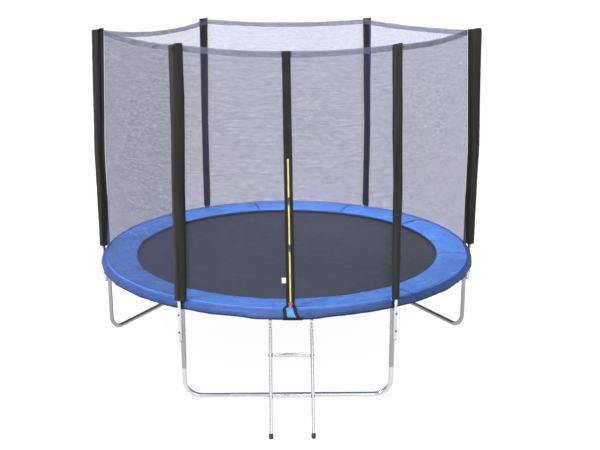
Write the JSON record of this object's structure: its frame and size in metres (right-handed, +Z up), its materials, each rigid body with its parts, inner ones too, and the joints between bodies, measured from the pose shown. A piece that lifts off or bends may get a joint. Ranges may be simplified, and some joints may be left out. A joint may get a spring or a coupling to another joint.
{
  "type": "trampoline",
  "caption": "Round garden trampoline with a sprung mat, padded blue edge, zipped net enclosure on padded poles, and a hook-on ladder.",
  "frame": {"origin": "middle of the whole footprint, ladder included, at ground level", "axes": "+Z up; -Y is the front, where the ladder and the zipped door are; +X is to the right as seen from the front"},
  "size_m": [3.1232, 3.484, 2.5566],
  "materials": {
    "galvanised_tube": "galvanised, dull",
    "bolt_steel": "dark zinc",
    "zinc_spring": "bright zinc",
    "black_plastic": "moulded",
    "black_rubber": "matt",
    "foam": "closed-cell foam",
    "black_fabric": "woven polyester",
    "net_mesh": "knitted mesh",
    "net_hem": "doubled mesh",
    "dark_hem": "bound edge",
    "zip_yellow": "zip tape",
    "red_tab": "woven",
    "woven_mat": "woven polypropylene",
    "blue_cover": "coated cloth",
    "blue_skirt": "coated cloth"
  },
  "bodies": {
    "frame": {"rail_front_left": "galvanised_tube", "rail_front_right": "galvanised_tube", "rail_right": "galvanised_tube", "rail_back_right": "galvanised_tube", "rail_back_left": "galvanised_tube", "rail_left": "galvanised_tube", "leg_post_front_left": "galvanised_tube", "leg_post_front_right": "galvanised_tube", "leg_post_right": "galvanised_tube", "leg_post_back_right": "galvanised_tube", "leg_post_back_left": "galvanised_tube", "leg_post_left": "galvanised_tube", "leg_base_front": "galvanised_tube", "leg_base_right": "galvanised_tube", "leg_base_left": "galvanised_tube", "pole_lower_front_left": "galvanised_tube", "pole_lower_front_right": "galvanised_tube", "pole_lower_right": "galvanised_tube", "pole_lower_back_right": "galvanised_tube", "pole_lower_back_left": "galvanised_tube", "pole_lower_left": "galvanised_tube", "sleeve_front_left": "black_fabric", "sleeve_front_right": "black_fabric", "sleeve_right": "black_fabric", "sleeve_back_right": "black_fabric", "sleeve_back_left": "black_fabric", "sleeve_left": "black_fabric", "poles_upper": "galvanised_tube", "pole_caps": "black_plastic", "pole_plugs": "black_plastic", "pole_bolts": "bolt_steel", "pole_foam": "foam", "net_front_left": "net_mesh", "net_front_right": "net_mesh", "net_right_front": "net_mesh", "net_right_back": "net_mesh", "net_back": "net_mesh", "net_left_back": "net_mesh", "net_left_front": "net_mesh", "net_top_hem": "net_hem", "net_foot_hem": "dark_hem", "door_strip": "black_fabric", "zip_tape": "zip_yellow", "zip_end_tab": "red_tab", "door_tapes": "black_fabric", "sleeve_ties": "black_fabric", "springs": "zinc_spring", "safety_pad": "blue_cover", "pad_skirt": "blue_skirt"},
    "mat": {"jumping_mat": "woven_mat", "mat_webbing": "black_fabric", "v_rings": "zinc_spring"},
    "ladder": {"ladder_side_left": "galvanised_tube", "ladder_side_right": "galvanised_tube", "ladder_rungs": "galvanised_tube", "ladder_hooks": "bolt_steel", "ladder_feet": "black_rubber", "ladder_bolts": "bolt_steel"},
    "upper_slider": {"zip_slider_upper": "black_plastic"},
    "lower_slider": {"zip_slider_lower": "black_plastic"}
  },
  "joints": [
    {"name": "mat_bounce", "type": "slide", "parent": "frame", "child": "mat", "axis": [0, 0, 1], "range_m": [-0.15, 0], "stiffness_N_per_m": 5000, "springref_m": 0.02, "deforming": ["springs"]},
    {"name": "ladder_swing", "type": "hinge", "parent": "frame", "child": "ladder", "pos_m": [0.02093, -1.29237, 0.716], "axis": [-0.9999, -0.014, 0], "range_deg": [0, 12]},
    {"name": "upper_zip", "type": "slide", "parent": "frame", "child": "upper_slider", "axis": [-0.0143, 0.1429, 0.9896], "range_m": [-0.12, 0.25]},
    {"name": "lower_zip", "type": "slide", "parent": "frame", "child": "lower_slider", "axis": [-0.0143, 0.1429, 0.9896], "range_m": [-0.38, 0.13]}
  ]
}
